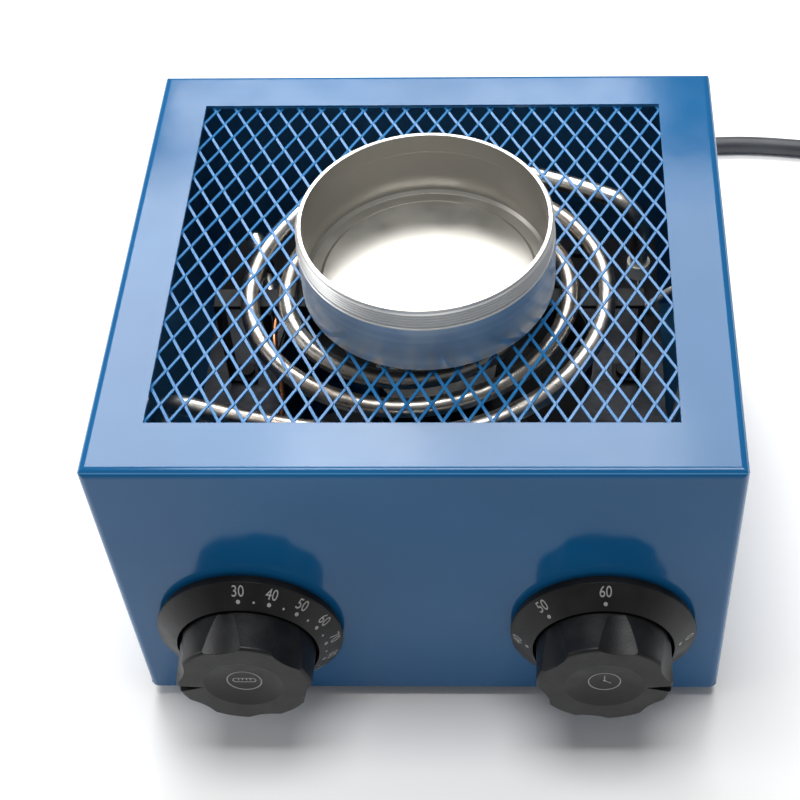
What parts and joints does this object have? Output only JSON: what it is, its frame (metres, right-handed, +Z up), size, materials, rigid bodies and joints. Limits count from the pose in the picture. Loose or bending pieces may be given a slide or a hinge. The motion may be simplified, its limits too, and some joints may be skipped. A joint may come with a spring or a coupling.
{
  "type": "watch parts dryer",
  "caption": "Blue bench dryer for small watch parts: a warm-air box with a wire grille, an aluminium dish, two round dials and a mains lead.",
  "frame": {"origin": "on the table, under the middle of the housing and its knobs, measured without the mains lead", "axes": "+Z up, +Y towards the back where the mains lead leaves, -Y towards the dials"},
  "size_m": [0.3782, 0.3143, 0.1558],
  "materials": {
    "blue_paint": "gloss",
    "grille_paint": "gloss",
    "base_paint": "satin",
    "zinc_screws": "satin",
    "foot_rubber": "matte",
    "heater_steel": "satin",
    "seal_ceramic": "matte",
    "pin_steel": "gloss",
    "bracket_steel": "satin",
    "black_steel": "satin",
    "fan_metal": "satin",
    "winding": "satin",
    "fan_plastic": "matte",
    "control_ceramic": "matte",
    "bulb_copper": "satin",
    "knob_black": "satin",
    "control_metal": "satin",
    "block_plastic": "satin",
    "wire_sleeve": "satin",
    "lead_rubber": "matte",
    "relief_rubber": "matte",
    "plug_rubber": "satin",
    "pin_brass": "gloss",
    "dish_aluminium": "satin"
  },
  "bodies": {
    "housing": {"housing_shell": "blue_paint", "top_grille": "grille_paint", "base_plate": "base_paint", "base_screws": "zinc_screws", "rubber_feet": "foot_rubber", "foot_screws": "zinc_screws", "foot_nuts": "zinc_screws", "heater_tube": "heater_steel", "heater_end_seals": "seal_ceramic", "heater_pins": "pin_steel", "heater_support": "black_steel", "heater_clips": "black_steel", "support_screws": "black_steel", "fan_frame": "fan_metal", "fan_stator": "winding", "fan_bearings": "pin_steel", "fan_brackets": "bracket_steel", "fan_screws": "black_steel", "fan_nuts": "black_steel", "bracket_screws": "zinc_screws", "thermostat_body": "control_ceramic", "thermostat_screws": "zinc_screws", "thermostat_bulb": "bulb_copper", "thermostat_capillary": "bulb_copper", "bulb_holder": "bracket_steel", "temperature_dial": "knob_black", "timer_body": "control_metal", "timer_screws": "zinc_screws", "timer_dial": "knob_black", "terminal_block": "block_plastic", "terminal_screws": "zinc_screws", "internal_wires": "wire_sleeve", "earth_stud": "zinc_screws", "earth_nut": "zinc_screws", "inner_lead": "lead_rubber", "strain_relief": "relief_rubber", "power_cord": "lead_rubber", "power_cord_coil": "lead_rubber", "cord_tie": "relief_rubber", "plug_body": "plug_rubber", "plug_pins": "pin_brass"},
    "temperature_knob": {"temperature_knob": "knob_black", "thermostat_stem": "pin_steel"},
    "timer_knob": {"timer_knob": "knob_black", "timer_stem": "pin_steel"},
    "fan_rotor": {"fan_impeller": "fan_plastic", "fan_shaft": "pin_steel"},
    "dish": {"parts_dish": "dish_aluminium"}
  },
  "joints": [
    {"name": "temperature_turn", "type": "hinge", "parent": "housing", "child": "temperature_knob", "pos_m": [-0.05875, -0.08063, 0.04625], "axis": [0, 1, 0], "range_deg": [0, 275]},
    {"name": "timer_turn", "type": "hinge", "parent": "housing", "child": "timer_knob", "pos_m": [0.05875, -0.08063, 0.04625], "axis": [0, 1, 0], "range_deg": [0, 270]},
    {"name": "fan_spin", "type": "hinge", "parent": "housing", "child": "fan_rotor", "pos_m": [0, 0.01937, 0.05], "axis": [0, 0, 1], "continuous": true},
    {"name": "dish_lift", "type": "slide", "parent": "housing", "child": "dish", "axis": [0, 0, 1], "range_m": [0, 0.06]}
  ]
}
